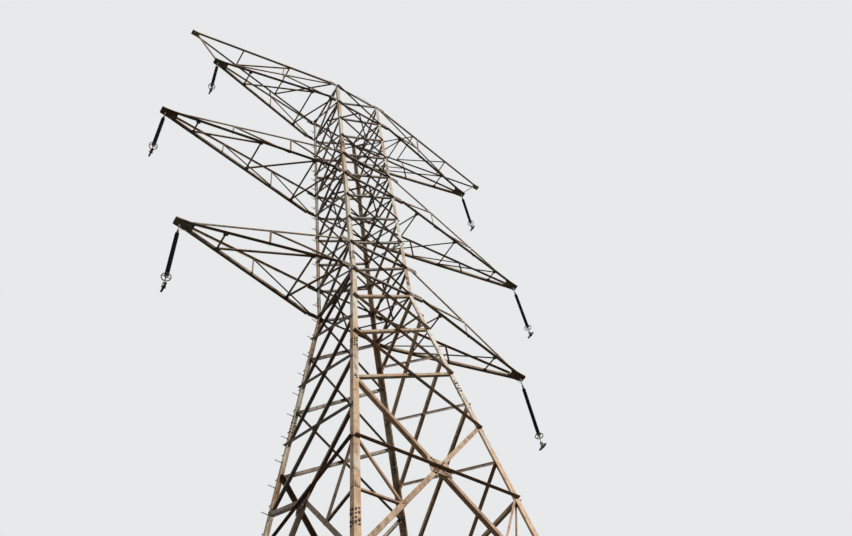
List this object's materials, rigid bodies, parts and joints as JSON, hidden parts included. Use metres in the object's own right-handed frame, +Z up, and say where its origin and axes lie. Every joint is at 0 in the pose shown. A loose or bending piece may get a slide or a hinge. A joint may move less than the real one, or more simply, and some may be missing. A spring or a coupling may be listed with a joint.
{
  "type": "lattice transmission pylon",
  "caption": "Free-standing lattice pylon with crossarms at three levels, earth wire arms at the top, and hanging insulator strings that swing and end in rocking conductor clamps.",
  "frame": {"origin": "on level ground, on the tower's vertical axis", "axes": "+Z up; +X along the crossarms to the right of the front face; +Y along the line of the conductors, away from the front face"},
  "size_m": [14.4, 8.0782, 36.58],
  "materials": {
    "galvanised_steel": "weathered galvanised angles, dull, with a warm brown tint",
    "weathered_steel": "weathered galvanised legs, dull, with a little rust at the joints",
    "concrete": "rough cast concrete",
    "insulator_set": "dark brown glazed sheds with steel end fittings",
    "clamp_alloy": "dull cast alloy",
    "number_plate": "blank pale enamel",
    "phase_plate": "blank dull yellow enamel"
  },
  "bodies": {
    "tower": {"footings": "concrete", "front_left_leg": "weathered_steel", "front_right_leg": "weathered_steel", "back_right_leg": "weathered_steel", "back_left_leg": "weathered_steel", "front_cage_bracing": "galvanised_steel", "right_cage_bracing": "galvanised_steel", "back_cage_bracing": "galvanised_steel", "left_cage_bracing": "galvanised_steel", "front_leg_bracing": "galvanised_steel", "right_leg_bracing": "galvanised_steel", "back_leg_bracing": "galvanised_steel", "left_leg_bracing": "galvanised_steel", "front_base_belt": "galvanised_steel", "right_base_belt": "galvanised_steel", "back_base_belt": "galvanised_steel", "left_base_belt": "galvanised_steel", "front_foot_bracing": "galvanised_steel", "right_foot_bracing": "galvanised_steel", "back_foot_bracing": "galvanised_steel", "left_foot_bracing": "galvanised_steel", "cage_plan_bracing": "galvanised_steel", "base_plan_bracing": "galvanised_steel", "left_bottom_arm": "galvanised_steel", "right_bottom_arm": "galvanised_steel", "left_middle_arm": "galvanised_steel", "right_middle_arm": "galvanised_steel", "left_top_arm": "galvanised_steel", "right_top_arm": "galvanised_steel", "left_earth_wire_arm": "galvanised_steel", "right_earth_wire_arm": "galvanised_steel", "number_plates": "number_plate", "back_plate": "phase_plate"},
    "left_bottom_string": {"left_bottom_insulator": "insulator_set"},
    "left_bottom_saddle": {"left_bottom_clamp": "clamp_alloy"},
    "right_bottom_string": {"right_bottom_insulator": "insulator_set"},
    "right_bottom_saddle": {"right_bottom_clamp": "clamp_alloy"},
    "left_middle_string": {"left_middle_insulator": "insulator_set"},
    "left_middle_saddle": {"left_middle_clamp": "clamp_alloy"},
    "right_middle_string": {"right_middle_insulator": "insulator_set"},
    "right_middle_saddle": {"right_middle_clamp": "clamp_alloy"},
    "left_top_string": {"left_top_insulator": "insulator_set"},
    "left_top_saddle": {"left_top_clamp": "clamp_alloy"},
    "right_top_string": {"right_top_insulator": "insulator_set"},
    "right_top_saddle": {"right_top_clamp": "clamp_alloy"}
  },
  "joints": [
    {"name": "left_bottom_swing", "type": "hinge", "parent": "tower", "child": "left_bottom_string", "pos_m": [-5.74, 0, 21.855], "axis": [0, 1, 0], "range_deg": [-45, 45]},
    {"name": "left_bottom_rock", "type": "hinge", "parent": "left_bottom_string", "child": "left_bottom_saddle", "pos_m": [-5.74, 0, 18.855], "axis": [1, 0, 0], "range_deg": [-25, 25]},
    {"name": "right_bottom_swing", "type": "hinge", "parent": "tower", "child": "right_bottom_string", "pos_m": [5.74, 0, 21.855], "axis": [0, 1, 0], "range_deg": [-45, 45]},
    {"name": "right_bottom_rock", "type": "hinge", "parent": "right_bottom_string", "child": "right_bottom_saddle", "pos_m": [5.74, 0, 18.855], "axis": [1, 0, 0], "range_deg": [-25, 25]},
    {"name": "left_middle_swing", "type": "hinge", "parent": "tower", "child": "left_middle_string", "pos_m": [-7.04, 0, 28.005], "axis": [0, 1, 0], "range_deg": [-45, 45]},
    {"name": "left_middle_rock", "type": "hinge", "parent": "left_middle_string", "child": "left_middle_saddle", "pos_m": [-7.04, 0, 25.005], "axis": [1, 0, 0], "range_deg": [-25, 25]},
    {"name": "right_middle_swing", "type": "hinge", "parent": "tower", "child": "right_middle_string", "pos_m": [7.04, 0, 28.005], "axis": [0, 1, 0], "range_deg": [-45, 45]},
    {"name": "right_middle_rock", "type": "hinge", "parent": "right_middle_string", "child": "right_middle_saddle", "pos_m": [7.04, 0, 25.005], "axis": [1, 0, 0], "range_deg": [-25, 25]},
    {"name": "left_top_swing", "type": "hinge", "parent": "tower", "child": "left_top_string", "pos_m": [-5.84, 0, 34.605], "axis": [0, 1, 0], "range_deg": [-45, 45]},
    {"name": "left_top_rock", "type": "hinge", "parent": "left_top_string", "child": "left_top_saddle", "pos_m": [-5.84, 0, 31.605], "axis": [1, 0, 0], "range_deg": [-25, 25]},
    {"name": "right_top_swing", "type": "hinge", "parent": "tower", "child": "right_top_string", "pos_m": [5.84, 0, 34.605], "axis": [0, 1, 0], "range_deg": [-45, 45]},
    {"name": "right_top_rock", "type": "hinge", "parent": "right_top_string", "child": "right_top_saddle", "pos_m": [5.84, 0, 31.605], "axis": [1, 0, 0], "range_deg": [-25, 25]}
  ]
}
